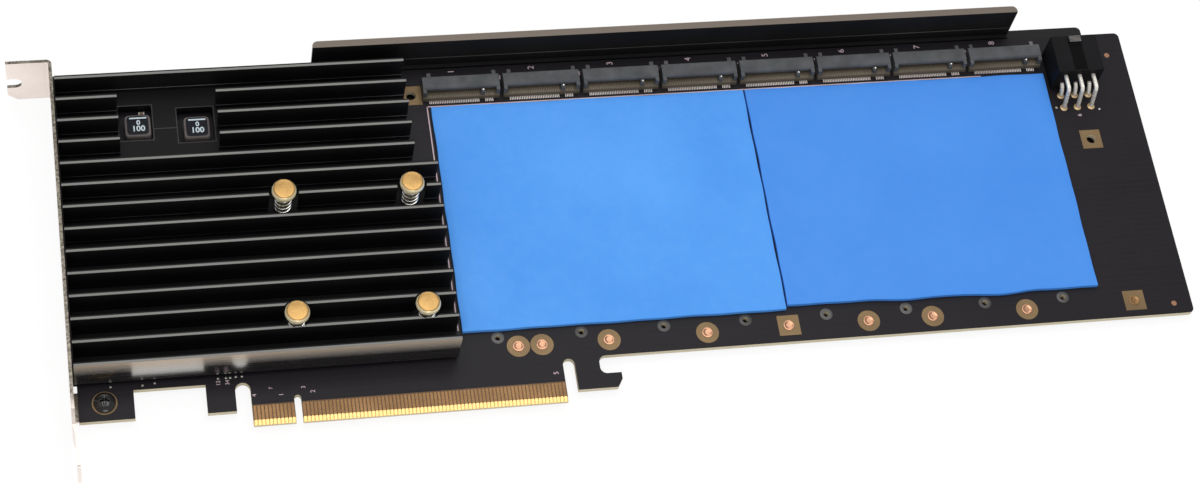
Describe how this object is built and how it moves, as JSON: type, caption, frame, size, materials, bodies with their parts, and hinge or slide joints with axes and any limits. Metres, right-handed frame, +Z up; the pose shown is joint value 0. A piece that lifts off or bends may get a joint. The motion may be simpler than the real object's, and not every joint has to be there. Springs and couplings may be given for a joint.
{
  "type": "storage module adapter card",
  "caption": "Long expansion card with a black finned heatsink, blue thermal pads, module connectors along its top edge, a power inlet and a steel mounting bracket.",
  "frame": {"origin": "centre of the key slot at the tongue's tip, on the board's component face", "axes": "+X along the card away from the bracket, +Y from the tongue to the top edge, +Z up from the component face"},
  "size_m": [0.3254, 0.1237, 0.0191],
  "materials": {
    "solder_mask": "satin black solder mask",
    "gold": "gold plating, slightly dull",
    "copper": "bright copper",
    "tin": "tin plating",
    "black_anodised": "black anodised, satin, with bright worn edges",
    "brass": "bright turned brass",
    "spring_steel": "bright wire",
    "chip_resin": "matt black resin",
    "thermal_grey": "soft grey pad",
    "inductor_grey": "pressed grey powder",
    "thermal_blue": "soft blue pad",
    "black_plastic": "moulded black plastic",
    "connector_plastic": "moulded dark blue-grey plastic",
    "dark_steel": "black oxide steel",
    "nickel": "nickel-plated steel",
    "ceramic": "tan ceramic"
  },
  "bodies": {
    "root": {"circuit_board": "solder_mask", "edge_contacts_front": "gold", "edge_contacts_back": "gold", "square_pads": "gold", "round_pads": "gold", "copper_studs": "copper", "controller_heatsink": "black_anodised", "push_pins": "brass", "pin_springs": "spring_steel", "switch_chip": "chip_resin", "chip_thermal_pad": "thermal_grey", "inductor_left": "inductor_grey", "inductor_right": "inductor_grey", "slot_contacts": "gold", "slot_hold_downs": "tin", "thermal_pad_left": "thermal_blue", "thermal_pad_right": "thermal_blue", "power_header": "black_plastic", "power_pins": "tin", "top_rail": "black_anodised", "mounting_bracket": "nickel", "bracket_screw_front": "dark_steel", "bracket_screw_rear": "dark_steel", "board_capacitors": "ceramic", "slot_1": "connector_plastic", "slot_2": "connector_plastic", "slot_3": "connector_plastic", "slot_4": "connector_plastic", "slot_5": "connector_plastic", "slot_6": "connector_plastic", "slot_7": "connector_plastic", "slot_8": "connector_plastic"}
  },
  "joints": []
}
